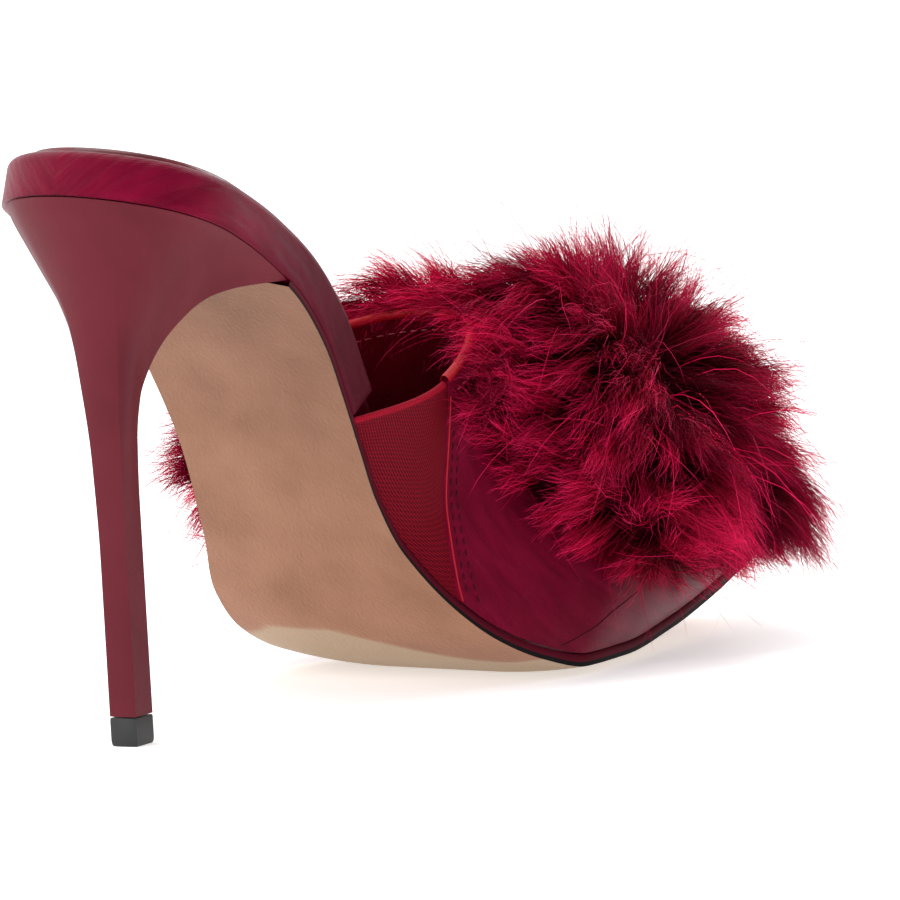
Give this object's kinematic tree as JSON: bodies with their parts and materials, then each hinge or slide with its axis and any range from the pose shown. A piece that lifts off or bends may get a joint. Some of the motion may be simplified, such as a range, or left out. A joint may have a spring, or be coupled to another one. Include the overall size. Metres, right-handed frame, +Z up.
{
  "type": "marabou slipper",
  "caption": "Left high-heeled marabou mule: hollow pointed satin upper with an elastic inset, open behind, on a thin sole and stiletto heel.",
  "frame": {"origin": "middle of the heel top piece's flat face on the floor", "axes": "+Y from the heel towards the toe, +X towards the wearer's right (the inner, arch side), +Z up"},
  "size_m": [0.1197, 0.2419, 0.1255],
  "materials": {
    "sole_leather": "tan, fine wrinkled grain, sanded tread, black edge",
    "satin_wrap": "burgundy duchess satin, glossy twill",
    "sock_lining": "smooth burgundy synthetic lining",
    "heel_cover": "satin-matte burgundy leather cover",
    "top_piece_rubber": "matte black",
    "satin": "burgundy satin",
    "elastic": "ribbed burgundy elastic",
    "feather": "raspberry burgundy marabou feather"
  },
  "bodies": {
    "root": {"outsole": "sole_leather", "footbed": "satin_wrap", "sock": "sock_lining", "heel": "heel_cover", "top_piece": "top_piece_rubber", "vamp": "satin", "gore_medial": "elastic", "marabou": "feather"}
  },
  "joints": []
}
